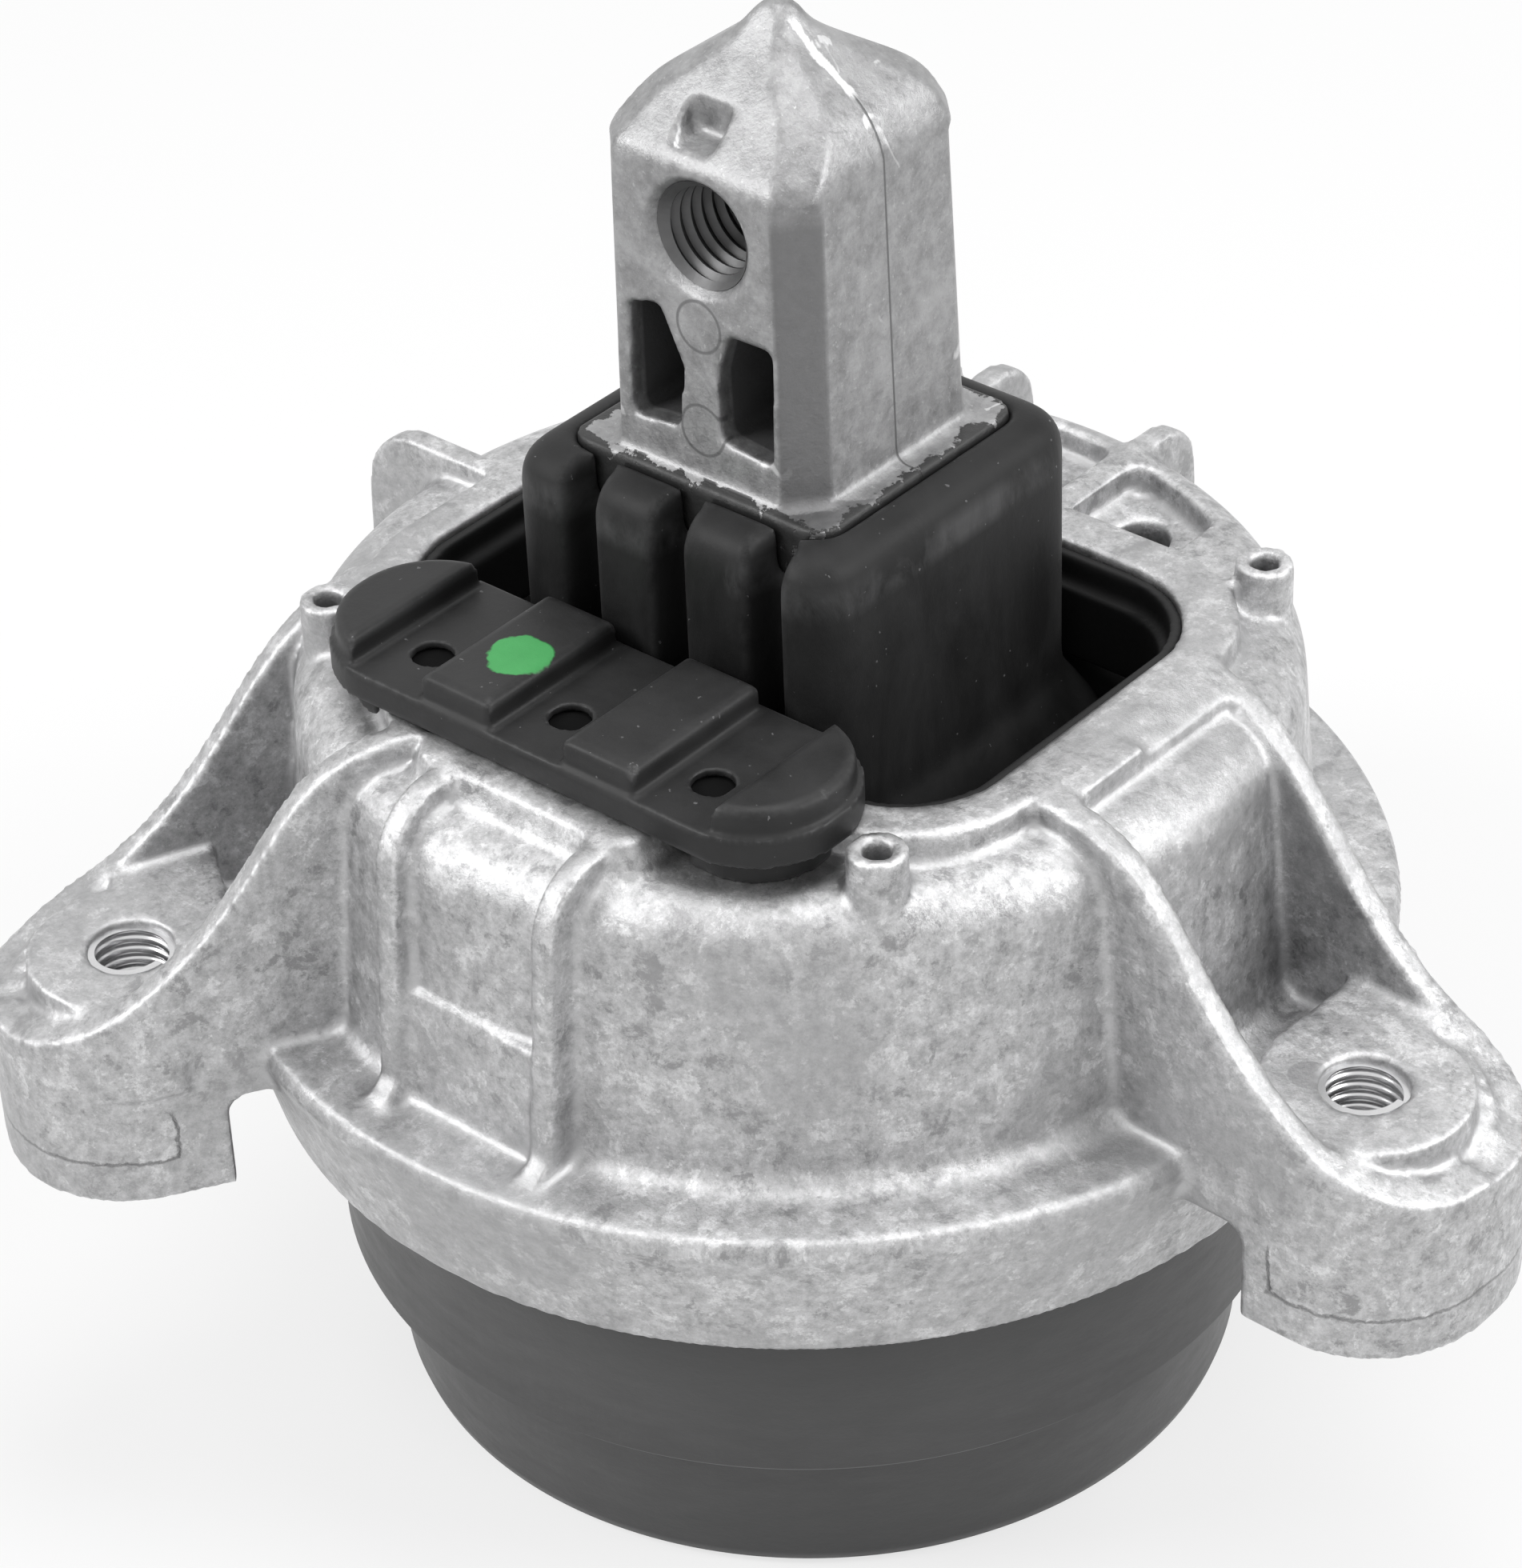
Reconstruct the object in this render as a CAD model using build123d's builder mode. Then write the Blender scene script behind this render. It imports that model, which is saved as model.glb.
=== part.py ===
from build123d import *
import os
from math import cos, radians, sin

# Engine mount: a rubber-and-fluid bearing that carries a car engine.
# Millimetres, +Z up. The origin is the centre of the flat underside of the lower cup,
# X runs along the travel stop towards the single right ear, and the threaded hole of the
# core faces -Y.

# Lower cup
cup_radius = 52.0
cup_step = 5.9
cup_band_radius = cup_radius + cup_step
cup_band_z = 20.5
cup_wall = 2.4
cup_floor = 3.0
cup_flange = 2.0
cup_flange_reach = 2.3
cup_edge_round = 1.5
cup_floor_round = 2.0
cup_step_round = 0.5

# Housing: clamping flange, stepped bores and bell, each from the one before it
plate_bore_radius = cup_band_radius + cup_flange_reach
rolled_lip = 1.8
flange_z = 45.9
flange_wall = 5.3
flange_flare = 3.6
flange_rim_reach = 0.9
flange_rim_round = 0.8
flange_under_radius = plate_bore_radius + flange_wall
flange_side_radius = flange_under_radius + flange_flare
flange_side_z = 60.3
flange_rim_radius = flange_side_radius + flange_rim_reach
flange_rim_z = 62.4
flange_top_radius = flange_rim_radius - flange_rim_round
flange_top_z = 64.5
ring_shelf = 5.7
ring_bore_radius = plate_bore_radius - ring_shelf
ring_stop = 3.5
throat_radius = ring_bore_radius - ring_stop
throat_fillet = 7.0
ring_seat_z = 59.0
ring_top_z = 75.0
bell_wall = 5.8
bell_taper = 2.8
bell_foot_radius = ring_bore_radius + bell_wall
bell_shoulder_radius = bell_foot_radius - bell_taper
bell_top_z = 98.8
bell_shoulder_fillet = 6.5
bell_foot_fillet = 3.0
roof_underside_z = 88.0

# Window in the roof and the raised rim round it
window_x = 81.4
window_y = 55.0
window_centre_y = -0.5
window_corner = 13.0
rim_z = 102.4
rim_x = 91.6
rim_back_y = 33.6
rim_front_y = -33.4
rim_corner = 17.0
rim_draft = 5.0
pad_front_y = -49.4
pad_left_x = -13.5
pad_right_x = 17.5
pad_corner = 2.5
pad_draft = 22.0

# Upright ribs: two in front, two lower and deeper ones behind that run across the
# pockets to the rim, and one on the far left
rib_width = 3.2
front_rib_left_x = -8.5
front_rib_right_x = 14.1
back_rib_left_x = -16.0
back_rib_right_x = 8.5
rib_round = 8.5
rib_top_z = 101.8
rib_stand_out = 1.9
rib_top_reach = bell_shoulder_radius + rib_stand_out
rib_foot_reach = bell_foot_radius + rib_stand_out
rib_toe = 3.5
rib_toe_height = 2.5
rib_sunk = 2.0
back_rib_z = 98.9
back_rib_depth = 5.8
back_rib_round = 6.0
back_rib_top_reach = bell_shoulder_radius + back_rib_depth
back_rib_foot_reach = bell_foot_radius + back_rib_depth
side_rib_depth = 8.9
side_rib_top_reach = bell_shoulder_radius + side_rib_depth
side_rib_foot_reach = bell_foot_radius + side_rib_depth

# Flat panel low on the bell between the front ribs
panel_sunk = 0.4
panel_reach = bell_foot_radius - panel_sunk
panel_draft = 1.6
panel_z = 78.6

# Ears: angle of the bolt hole, then the two side walls as offsets from the ear's own
# centre line, at the bell and at the outer end, the side on which the seat is joined, and
# how far short of the bolt hole the slot behind the clamping flange ends
ear_hole_radius = flange_rim_radius + 10.0
ear_reach = ear_hole_radius + 17.0
ear_root = bell_shoulder_radius - 11.5
ear_corner = 15.5
ear_wall = 3.6
ear_lip_z = 65.8
ear_pocket_z = 63.6
ear_seat_z = 71.0
ear_seat_radius = 12.1
ear_seat_back = 12.5
ear_slot_z = 58.0
ear_slot_round = 2.0
ears = {
    "right": (-1.1, -15.2, 19.0, -16.2, 17.8, 1, 4.8),
    "left": (-124.1, -23.3, 14.3, -16.3, 15.7, -1, 7.2),
    "rear": (124.1, -14.3, 23.3, -15.7, 16.3, 1, 7.2),
}

# Height of an ear's side walls, against the distance from their root at the bell: first
# the wall away from the seat, then the lower one that the seat runs into
far_wall_top = (
    (0.0, 102.2),
    (7.0, 101.4),
    (13.0, 98.4),
    (20.3, 89.6),
    (29.0, 79.0),
    (38.0, 72.2),
    (49.0, 66.6),
)
seat_wall_top = (
    (0.0, 102.0),
    (5.8, 99.6),
    (12.5, 93.8),
    (20.3, 83.6),
    (28.5, 74.8),
    (36.4, 69.6),
    (46.0, 65.9),
)

# Small hollow posts on the shoulder
post_x = 40.0
post_y = 35.0
post_radius = 3.4
post_bore = 1.7
post_z = 104.1
post_depth = 9.0
post_root = 8.0

# Cast pockets behind the rim
pocket_z = 95.2
pocket_radius = bell_shoulder_radius - 5.5
pocket_start_y = 35.2
pocket_left_x = -26.0
pocket_right_x = 25.5
pocket_round = 2.0
pocket_draft = 4.0
pocket_rib_fillet = 0.6
vent_radius = 3.6
vent_depth = 12.0
vent_x = 17.4
vent_y = 42.2

# Threads: M12 in the core, M10 wire inserts in the ears
m12_tap_radius = 5.25
m12_depth = 24.0
m12_mouth_radius = 7.1
m10_tap_radius = 4.25
insert_radius = 5.0
insert_length = 20.0
insert_setback = 0.8

# Core: stalk and the plate at its foot
core_plate_z = 125.0
core_plate_x = 36.8
core_plate_y = 34.6
core_plate_corner = 3.0
core_plate_height = 7.0
stalk_x = 29.8
stalk_y = 31.4
stalk_centre_y = 0.4
stalk_corner_x = 3.4
stalk_corner_y = 4.2
stalk_foot_fillet = 1.2
head_x = 28.9
head_y = 29.7
head_centre_x = -0.5
head_z = 161.0
m12_z = 154.2
m12_x = 0.3
m12_spot_depth = 0.8
core_root_z = 80.0
core_root_radius = 9.0
core_neck_radius = 15.0
web_pocket_depth = 12.0
web_pocket_round = 0.8
web_pocket_left = ((-9.8, 129.6), (-3.0, 130.4), (-2.2, 137.5), (-5.6, 144.6), (-9.8, 143.4))
web_pocket_right = ((2.9, 130.6), (10.2, 129.8), (10.2, 143.8), (4.2, 143.6), (2.6, 138.4))
notch_x = -1.8
notch_z = 163.2
notch_width = 5.7
notch_height = 6.0
notch_depth = 6.8
notch_round = 1.8

# Domed head: height above its foot, half width, front and back half depth, and the share
# of each side that the cut corners take
head_sections = (
    (0.0, 14.45, 14.85, 14.85, 0.24),
    (1.3, 14.3, 14.3, 14.8, 0.25),
    (2.8, 13.7, 12.9, 14.3, 0.27),
    (4.6, 12.7, 10.9, 13.4, 0.29),
    (6.8, 10.6, 8.7, 11.0, 0.32),
    (8.8, 7.7, 6.6, 7.9, 0.34),
    (10.6, 5.1, 4.6, 5.2, 0.36),
    (12.8, 2.9, 2.7, 2.9, 0.38),
    (14.8, 0.9, 0.9, 0.9, 0.4),
)

# Rubber spring
block_x = 46.8
block_y = 45.4
block_corner = 5.5
block_top_z = 124.6
block_round = 4.4
block_foot_z = 91.0
flare_z = 84.0
flare_grow = 5.0
rubber_ring_radius = ring_bore_radius - 4.3
rubber_ring_z = 74.0
rubber_ring_slope = 1.5
rubber_foot_z = 60.4
chamber_radius = rubber_ring_radius - 5.2
chamber_round = 5.0
chamber_top_radius = 14.0
chamber_top_z = 75.0
groove_width = 4.0
groove_depth = 5.6
groove_left_x = -12.1
groove_middle_x = 0.8
groove_right_x = 14.2

# Travel stop: rubber pad over a steel strip
stop_length = 70.0
stop_width = 22.6
stop_centre_y = -35.0
stop_flat_z = 106.0
stop_raised_z = 109.2
stop_end_round = 11.0
stop_hole_radius = 2.4
stop_hole_pitch = 20.4
stop_hole_y = -38.3
stop_block_from = 5.2
stop_block_to = 15.4
stop_end_from = 26.0
stop_edge_inset = 1.6
stop_strip_height = 1.5
stop_strip_margin = 3.2
stop_strip_corner = 7.1
stop_strip_z = 103.4
stop_lug_inset = 2.4
stop_lug_x = 21.5
stop_block_round = 1.2

# Window buffer: rubber band bonded to the wall of the window
buffer_thickness = 2.6
buffer_lip = 1.2
buffer_ledge_z = 98.2
buffer_top_z = 101.6
buffer_foot_z = 89.0

# Fluid channel, decoupler and diaphragm
bead_height = 2.3
lower_plate_height = 3.6
channel_radius = 38.0
channel_width = 6.0
channel_depth = 2.4
channel_dam = 5.0
port_radius = 2.5
decoupler_radius = 29.0
decoupler_height = 3.0
decoupler_play = 0.4
plate_hole_radius = 1.8
hole_rings = ((8.5, 6), (17.0, 12))
diaphragm_wall = 2.0
diaphragm_drop = 27.0
diaphragm_rise = 10.0
diaphragm_fold = 14.0
diaphragm_slope = 10.0

# Clearances
slide = 0.1
diaphragm_gap = 3.5

os.makedirs("parts", exist_ok=True)


def save(part, name):
    """Label one finished piece and write it."""
    part.label = name
    export_step(part, f"parts/{name}.step")


def corner(sketch, x, y):
    """The vertex of a sketch nearest to a point of its own plane."""
    return sketch.vertices().sort_by_distance(Vector(x, y, 0))[0]


def ear_point(angle, reach, offset):
    """Plan position at a reach along an ear and an offset across it."""
    a = radians(angle)
    return (reach * cos(a) - offset * sin(a), reach * sin(a) + offset * cos(a))


# Heights of the pieces stacked under the ring seat
cup_top_z = flange_z + rolled_lip + cup_flange
bead_top_z = cup_top_z + bead_height
lower_plate_top_z = bead_top_z + lower_plate_height
upper_plate_top_z = ring_seat_z
clamp_radius = plate_bore_radius - slide
diaphragm_radius = cup_band_radius - cup_wall - diaphragm_gap
decoupler_seat = decoupler_height / 2 + decoupler_play / 2
port_place = (channel_radius - 1, -channel_width / 2 - channel_dam)
window_front_y = window_centre_y - window_y / 2
rim_y = rim_back_y - rim_front_y
rim_centre_y = (rim_back_y + rim_front_y) / 2

# Housing: one die casting
with BuildPart() as housing:
    # Ears: solid foot, two falling side walls, low outer lip and the raised seat
    for angle, root_a, root_b, end_a, end_b, seat_side, slot_setback in ears.values():
        outline = [
            ear_point(angle, ear_root, root_a),
            ear_point(angle, ear_reach, end_a),
            ear_point(angle, ear_reach, end_b),
            ear_point(angle, ear_root, root_b),
        ]
        with BuildSketch(Plane.XY.offset(flange_z)) as foot:
            with BuildLine():
                Polyline(*outline, close=True)
            make_face()
            fillet(corner(foot, *outline[1]), ear_corner)
            fillet(corner(foot, *outline[2]), ear_corner)
        extrude(amount=rim_z - flange_z)
        with BuildSketch(Plane.XY.offset(ear_pocket_z)) as ear_floor:
            add(foot.sketch_local)
            offset(amount=-ear_wall, mode=Mode.REPLACE)
        extrude(amount=rim_z - ear_pocket_z, mode=Mode.SUBTRACT)

        # Everything above the falling crests comes off, one side of the ear at a time
        root = Vector(*ear_point(angle, ear_root, 0), 0)
        along = Vector(*ear_point(angle, 1, 0), 0)
        across = Vector(*ear_point(angle, 0, seat_side), 0)
        for wall_side, wall_top in ((across, seat_wall_top), (-across, far_wall_top)):
            with BuildSketch(Plane(origin=root, x_dir=along, z_dir=wall_side)) as above:
                # The plane's own y axis points down on one of the two sides
                up = 1 if along.cross(wall_side).Z < 0 else -1
                with BuildLine():
                    crest = Spline(*[(reach, up * height) for reach, height in wall_top])
                    Polyline(
                        crest @ 1,
                        (ear_reach, up * ear_lip_z),
                        (ear_reach, up * (rim_z + 1)),
                        (0, up * (rim_z + 1)),
                        crest @ 0,
                    )
                make_face()
            extrude(amount=ear_reach / 3, mode=Mode.SUBTRACT)

        with BuildSketch(Plane.XY.offset(ear_slot_z)) as seat:
            seat_mid = ear_point(angle, ear_hole_radius - ear_seat_back / 2, seat_side * ear_reach / 4)
            with Locations(Location((*seat_mid, 0), (0, 0, 1), angle)):
                Rectangle(ear_seat_back, ear_reach / 2)
            add(foot.sketch_local, mode=Mode.INTERSECT)
            with Locations(ear_point(angle, ear_hole_radius, 0)):
                Circle(ear_seat_radius)
        extrude(amount=ear_seat_z - ear_slot_z)

        # Arched slot between the ear and the clamping flange, and all that lies inside it
        slot_end = ear_hole_radius - slot_setback - ear_root
        with BuildSketch(Plane(origin=root, x_dir=along, z_dir=along.cross(Vector(0, 0, 1)))) as slot:
            with Locations((slot_end, flange_z - 1)):
                Rectangle(ear_reach, ear_slot_z - flange_z + 1, align=(Align.MAX, Align.MIN))
            fillet(corner(slot, slot_end, ear_slot_z), ear_slot_round)
        extrude(amount=ear_reach / 3, both=True, mode=Mode.SUBTRACT)

    # Bell with its clamping flange
    with BuildSketch(Plane.XZ) as bell:
        with BuildLine():
            Polyline(
                (0, roof_underside_z),
                (throat_radius, roof_underside_z),
                (throat_radius, ring_top_z),
                (ring_bore_radius, ring_top_z),
                (ring_bore_radius, ring_seat_z),
                (plate_bore_radius, ring_seat_z),
                (plate_bore_radius, flange_z + rolled_lip),
                (cup_band_radius + slide, flange_z + rolled_lip),
                (cup_band_radius + slide, flange_z),
                (flange_under_radius, flange_z),
                (flange_side_radius, flange_side_z),
                (flange_rim_radius, flange_rim_z),
                (flange_top_radius, flange_top_z),
                (bell_foot_radius, flange_top_z),
                (bell_shoulder_radius, bell_top_z),
                (0, bell_top_z),
                close=True,
            )
        make_face()
        fillet(corner(bell, throat_radius, roof_underside_z), throat_fillet)
        fillet(corner(bell, bell_foot_radius, flange_top_z), bell_foot_fillet)
        fillet(corner(bell, bell_shoulder_radius, bell_top_z), bell_shoulder_fillet)
        fillet(corner(bell, flange_top_radius, flange_top_z), flange_rim_round)
    revolve(axis=Axis.Z)

    # Raised rim round the window, and the wide pad that carries the travel stop
    with BuildSketch(Plane.XY.offset(rim_z)) as rim_plan:
        with Locations((0, rim_centre_y)):
            RectangleRounded(rim_x, rim_y, rim_corner)
    extrude(amount=-(rim_z - roof_underside_z), taper=-rim_draft)
    with BuildSketch(Plane.XY.offset(rim_z)) as pad_plan:
        with Locations(((pad_left_x + pad_right_x) / 2, (pad_front_y + window_front_y) / 2)):
            RectangleRounded(pad_right_x - pad_left_x, window_front_y - pad_front_y, pad_corner)
    extrude(amount=-(rim_z - bell_top_z + bell_shoulder_fillet), taper=-pad_draft)

    # Upright ribs on the front and the far left
    rib_foot_z = flange_top_z - rib_sunk
    for rib_x in (front_rib_left_x, front_rib_right_x):
        with BuildSketch(Plane.YZ.offset(rib_x)) as rib:
            with BuildLine():
                Polyline(
                    (rim_front_y, rib_foot_z),
                    (rim_front_y, rib_top_z),
                    (-rib_top_reach, rib_top_z),
                    (-rib_foot_reach, flange_top_z + rib_toe_height),
                    (-rib_foot_reach - rib_toe, flange_top_z - slide),
                    (-rib_foot_reach - rib_toe, rib_foot_z),
                    close=True,
                )
            make_face()
            fillet(corner(rib, -rib_top_reach, rib_top_z), rib_round)
        extrude(amount=rib_width / 2, both=True)
    with BuildSketch(Plane.XZ) as side_rib:
        with BuildLine():
            Polyline(
                (-rim_back_y, rib_foot_z),
                (-rim_back_y, rib_top_z),
                (-side_rib_top_reach, rib_top_z),
                (-side_rib_foot_reach, rib_foot_z),
                close=True,
            )
        make_face()
        fillet(corner(side_rib, -side_rib_top_reach, rib_top_z), rib_round)
    extrude(amount=rib_width / 2, both=True)

    # Flat panel between the front ribs, standing a little proud of the round wall
    with BuildSketch(Plane.YZ.offset(front_rib_left_x)):
        with BuildLine():
            Polyline(
                (-throat_radius - ring_stop, rib_foot_z),
                (-throat_radius - ring_stop, panel_z),
                (-panel_reach, panel_z),
                (-panel_reach - panel_draft, rib_foot_z),
                close=True,
            )
        make_face()
    extrude(amount=front_rib_right_x - front_rib_left_x)

    # The bores and the throat again, where the ears ran through them
    with BuildSketch(Plane.XZ) as bore:
        with BuildLine():
            Polyline(
                (0, flange_z - 1),
                (cup_band_radius + slide, flange_z - 1),
                (cup_band_radius + slide, flange_z + rolled_lip),
                (plate_bore_radius, flange_z + rolled_lip),
                (plate_bore_radius, ring_seat_z),
                (ring_bore_radius, ring_seat_z),
                (ring_bore_radius, ring_top_z),
                (throat_radius, ring_top_z),
                (throat_radius, roof_underside_z),
                (0, roof_underside_z),
                close=True,
            )
        make_face()
        fillet(corner(bore, throat_radius, roof_underside_z), throat_fillet)
    revolve(axis=Axis.Z, mode=Mode.SUBTRACT)
    with BuildSketch(Plane.XY.offset(roof_underside_z - 1)) as window:
        with Locations((0, window_centre_y)):
            RectangleRounded(window_x, window_y, window_corner)
    extrude(amount=rim_z - roof_underside_z + 3, mode=Mode.SUBTRACT)

    # Cast pockets between the back ribs and beside them
    rib_gap = rib_width / 2 + pocket_rib_fillet
    pocket_spans = (
        (pocket_left_x, back_rib_left_x - rib_gap),
        (back_rib_left_x + rib_gap, back_rib_right_x - rib_gap),
        (back_rib_right_x + rib_gap, pocket_right_x),
    )
    for low_x, high_x in pocket_spans:
        with BuildSketch(Plane.XY.offset(pocket_z)) as pocket:
            with Locations(((low_x + high_x) / 2, pocket_start_y + pocket_radius / 2)):
                Rectangle(high_x - low_x, pocket_radius)
            Circle(pocket_radius, mode=Mode.INTERSECT)
            fillet(pocket.vertices(), pocket_round)
        extrude(amount=rim_z - pocket_z, taper=-pocket_draft, mode=Mode.SUBTRACT)
    with Locations((vent_x, vent_y, pocket_z)):
        Hole(vent_radius, depth=vent_depth)

    # Back ribs
    pocket_under_z = roof_underside_z + throat_fillet
    for rib_x in (back_rib_left_x, back_rib_right_x):
        with BuildSketch(Plane.YZ.offset(rib_x)) as back_rib:
            with BuildLine():
                Polyline(
                    (rim_back_y, pocket_under_z),
                    (rim_back_y, back_rib_z),
                    (back_rib_top_reach, back_rib_z),
                    (back_rib_foot_reach, rib_foot_z),
                    (throat_radius + ring_stop, rib_foot_z),
                    (throat_radius + ring_stop, pocket_under_z),
                    close=True,
                )
            make_face()
            fillet(corner(back_rib, back_rib_top_reach, back_rib_z), back_rib_round)
        extrude(amount=rib_width / 2, both=True)

    # Hollow posts
    for sx in (-1, 1):
        for sy in (-1, 1):
            with Locations((sx * post_x, sy * post_y, bell_top_z - post_root)):
                Cylinder(
                    post_radius,
                    post_z - bell_top_z + post_root,
                    align=(Align.CENTER, Align.CENTER, Align.MIN),
                )
            with Locations((sx * post_x, sy * post_y, post_z)):
                Hole(post_bore, depth=post_depth)

    # Bolt holes of the ears, bored for the wire inserts
    for angle, *_ in ears.values():
        with Locations((*ear_point(angle, ear_hole_radius, 0), ear_seat_z)):
            Hole(insert_radius, depth=ear_seat_z - flange_z + 1)

save(housing.part, "housing")

# Wire thread inserts, wound from steel wire and screwed into the ears
for ear_name, (angle, *_) in ears.items():
    with BuildPart() as insert:
        with BuildSketch(Plane.XY.offset(ear_seat_z - insert_setback - insert_length)):
            with Locations(ear_point(angle, ear_hole_radius, 0)):
                Circle(insert_radius)
                Circle(m10_tap_radius, mode=Mode.SUBTRACT)
        extrude(amount=insert_length)
    save(insert.part, f"thread_insert_{ear_name}")


def cut_corner_section(half_x, front, back, corner_x, corner_y):
    """Rectangle with four cut corners, its front and back at their own distances."""
    with BuildSketch(mode=Mode.PRIVATE) as section:
        with BuildLine():
            Polyline(
                (half_x - corner_x, -front),
                (half_x, -front + corner_y),
                (half_x, back - corner_y),
                (half_x - corner_x, back),
                (-half_x + corner_x, back),
                (-half_x, back - corner_y),
                (-half_x, -front + corner_y),
                (-half_x + corner_x, -front),
                close=True,
            )
        make_face()
    return section.sketch


# Core: one die casting with a stalk, a plate and a tapering root inside the rubber
with BuildPart() as core:
    with BuildSketch(Plane.XY.offset(core_plate_z - core_plate_height)):
        with Locations((0, stalk_centre_y)):
            RectangleRounded(core_plate_x, core_plate_y, core_plate_corner)
    extrude(amount=core_plate_height)
    with BuildSketch(Plane.XY.offset(core_plate_z)):
        with Locations((0, stalk_centre_y)):
            add(cut_corner_section(stalk_x / 2, stalk_y / 2, stalk_y / 2, stalk_corner_x, stalk_corner_y))
    with BuildSketch(Plane.XY.offset(head_z)):
        with Locations((head_centre_x, stalk_centre_y)):
            add(cut_corner_section(head_x / 2, head_y / 2, head_y / 2, stalk_corner_x, stalk_corner_y))
    loft(ruled=True)
    foot_edges = core.edges().filter_by_position(Axis.Z, core_plate_z, core_plate_z)
    stalk_foot = foot_edges.filter_by(lambda edge: abs(edge.center().X) < stalk_x / 2 + slide)
    fillet(stalk_foot.filter_by(lambda edge: abs(edge.center().Y) < stalk_y / 2 + 1), stalk_foot_fillet)
    for height, half_x, front, back, cut in head_sections:
        with BuildSketch(Plane.XY.offset(head_z + height)):
            with Locations((head_centre_x, stalk_centre_y)):
                add(cut_corner_section(half_x, front, back, half_x * cut, (front + back) / 2 * cut))
    loft()
    with BuildSketch(Plane.XY.offset(core_plate_z - core_plate_height)):
        Circle(core_neck_radius)
    with BuildSketch(Plane.XY.offset(core_root_z)):
        Circle(core_root_radius)
    loft()

    # Threaded hole, the notch above it and the two core-print pockets below
    front_y = stalk_centre_y - stalk_y / 2
    spot_y = front_y + m12_spot_depth
    with Locations(Plane((m12_x, spot_y, m12_z), x_dir=(1, 0, 0), z_dir=(0, -1, 0))):
        CounterSinkHole(m12_tap_radius, m12_mouth_radius, depth=m12_depth, counter_sink_angle=90)
    notch_plane = Plane((notch_x, front_y, notch_z), x_dir=(1, 0, 0), z_dir=(0, -1, 0))
    with BuildSketch(notch_plane) as notch:
        Rectangle(notch_width, notch_height, align=(Align.CENTER, Align.MIN))
        fillet(notch.vertices().sort_by(Axis.Z)[:2], notch_round)
    extrude(amount=-notch_depth, mode=Mode.SUBTRACT)
    with BuildSketch(Plane((0, front_y - 1, 0), x_dir=(1, 0, 0), z_dir=(0, -1, 0))) as webs:
        for outline in (web_pocket_left, web_pocket_right):
            with BuildLine():
                Polyline(*outline, close=True)
            make_face()
        fillet(webs.vertices(), web_pocket_round)
    extrude(amount=-web_pocket_depth - 1, mode=Mode.SUBTRACT)

save(core.part, "core")

# Main spring: rubber moulded round the core and into the spring ring
with BuildPart() as main_spring:
    with BuildSketch(Plane.XY.offset(block_foot_z)):
        RectangleRounded(block_x, block_y, block_corner)
    extrude(amount=block_top_z - block_foot_z)
    fillet(main_spring.faces().sort_by(Axis.Z)[-1].edges(), block_round)
    with BuildSketch(Plane.XY.offset(block_foot_z)):
        RectangleRounded(block_x, block_y, block_corner)
    with BuildSketch(Plane.XY.offset(flare_z)):
        RectangleRounded(block_x + 2 * flare_grow, block_y + 2 * flare_grow, block_corner + flare_grow)
    loft()
    with BuildSketch(Plane.XZ) as spring_body:
        with BuildLine():
            Polyline(
                (0, flare_z + 1),
                (block_y / 2 - 1, flare_z + 1),
                (rubber_ring_radius - 2, rubber_ring_z + rubber_ring_slope),
                (rubber_ring_radius, rubber_ring_z),
                (rubber_ring_radius, rubber_foot_z),
                (chamber_radius, rubber_foot_z),
                (chamber_top_radius, chamber_top_z),
                (0, chamber_top_z),
                close=True,
            )
        make_face()
        fillet(corner(spring_body, chamber_top_radius, chamber_top_z), chamber_round)
    revolve(axis=Axis.Z)
    with BuildSketch(Plane.XY.offset(block_foot_z)) as grooves:
        for groove_x in (groove_left_x, groove_middle_x, groove_right_x):
            with Locations((groove_x, -block_y / 2)):
                SlotOverall(2 * groove_depth, groove_width, rotation=90)
    extrude(amount=block_top_z - block_foot_z + 1, mode=Mode.SUBTRACT)
    add(core.part, mode=Mode.SUBTRACT)

save(main_spring.part, "main_spring")

# Spring ring: turned aluminium ring that the spring is bonded into, pressed into the bell
with BuildPart() as spring_ring:
    with BuildSketch(Plane.XY.offset(ring_seat_z)):
        Circle(ring_bore_radius - slide)
        Circle(rubber_ring_radius, mode=Mode.SUBTRACT)
    extrude(amount=rubber_ring_z - ring_seat_z)
    with BuildSketch(Plane.XY.offset(ring_seat_z)):
        Circle(ring_bore_radius - slide)
        Circle(chamber_radius, mode=Mode.SUBTRACT)
    extrude(amount=rubber_foot_z - ring_seat_z)

save(spring_ring.part, "spring_ring")

# Window buffer: rubber lip moulded on the wall of the window
with BuildPart() as window_buffer:
    for grow, low_z, high_z in (
        (buffer_thickness, buffer_foot_z, buffer_ledge_z),
        (buffer_thickness - buffer_lip, buffer_ledge_z, buffer_top_z),
    ):
        with BuildSketch(Plane.XY.offset(low_z)):
            with Locations((0, window_centre_y)):
                RectangleRounded(window_x, window_y, window_corner)
                RectangleRounded(
                    window_x - 2 * grow,
                    window_y - 2 * grow,
                    window_corner - grow,
                    mode=Mode.SUBTRACT,
                )
        extrude(amount=high_z - low_z)

save(window_buffer.part, "window_buffer")

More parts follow.
